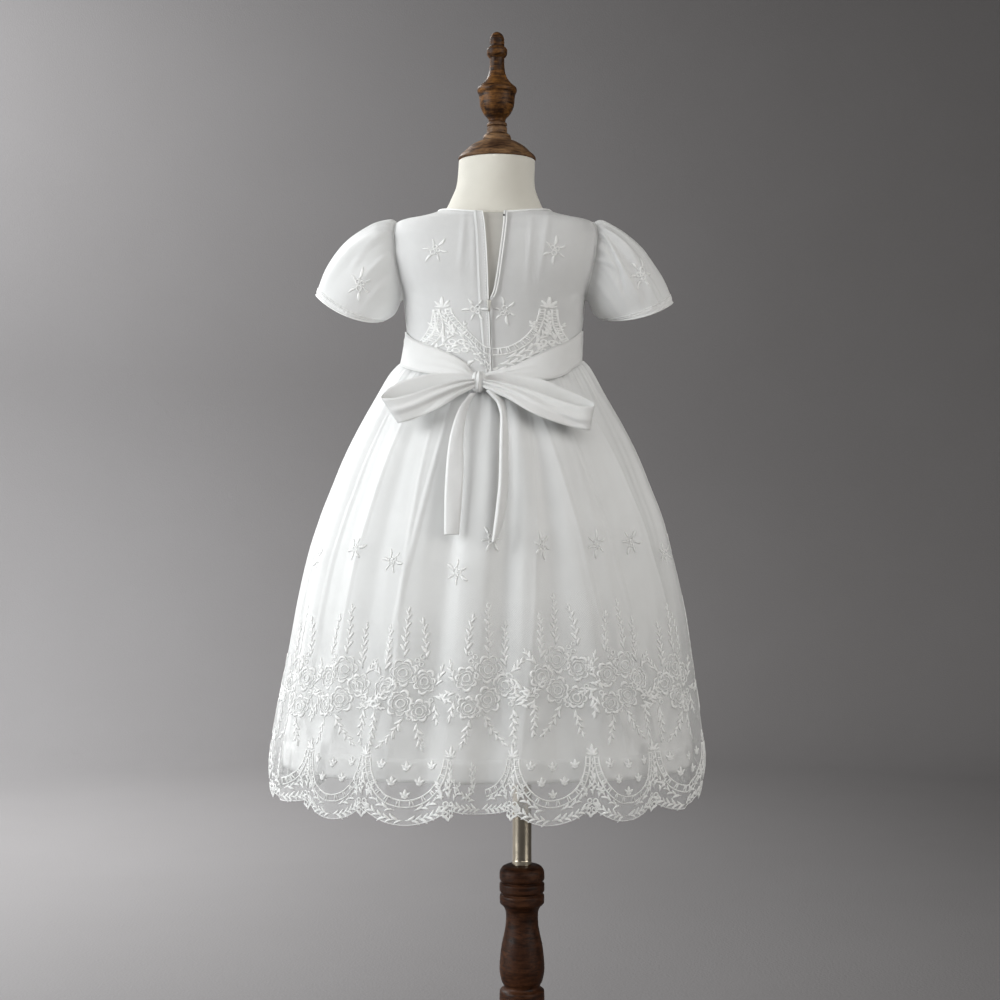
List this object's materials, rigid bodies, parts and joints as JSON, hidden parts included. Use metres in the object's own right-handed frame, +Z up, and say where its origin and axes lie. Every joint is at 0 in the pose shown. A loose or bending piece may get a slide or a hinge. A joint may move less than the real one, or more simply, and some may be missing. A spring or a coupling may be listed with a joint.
{
  "type": "christening gown on dress form",
  "caption": "Child's white embroidered christening gown with short sleeves, a ribbon sash and a bow at the back, on a limbless dress form with a turned stand.",
  "frame": {"origin": "centre of the stand's underside, on the pole's axis", "axes": "+Z up along the pole, +Y towards the gown's front, -Y towards its back with the zip opening and the bow, -X towards the wearer's left"},
  "size_m": [0.4323, 0.32, 1.108],
  "materials": {
    "ivory_lining": "smooth woven lining",
    "white_tulle": "embroidered tulle over a lining",
    "satin_ribbon": "satin",
    "form_cover": "plain woven cover",
    "dark_wood": "dark stain and lacquer",
    "nickel": "nickel plated",
    "zip_metal": "plain"
  },
  "bodies": {
    "root": {"base_disc": "dark_wood", "column": "dark_wood", "pole": "nickel", "form_torso": "form_cover", "neck_cap": "dark_wood", "finial": "dark_wood", "bodice_front": "white_tulle", "bodice_back_left": "white_tulle", "bodice_back_right": "white_tulle", "placket_left": "white_tulle", "zip_tape_right": "white_tulle", "zip_underlap": "white_tulle", "zip_slider": "zip_metal", "sleeve_left": "white_tulle", "sleeve_right": "white_tulle", "skirt_overlay": "white_tulle", "skirt_lining": "ivory_lining", "sash": "satin_ribbon", "bow_knot": "satin_ribbon", "bow_loop_left": "satin_ribbon", "bow_loop_right": "satin_ribbon", "bow_tail_left": "satin_ribbon", "bow_tail_right": "satin_ribbon"}
  },
  "joints": []
}
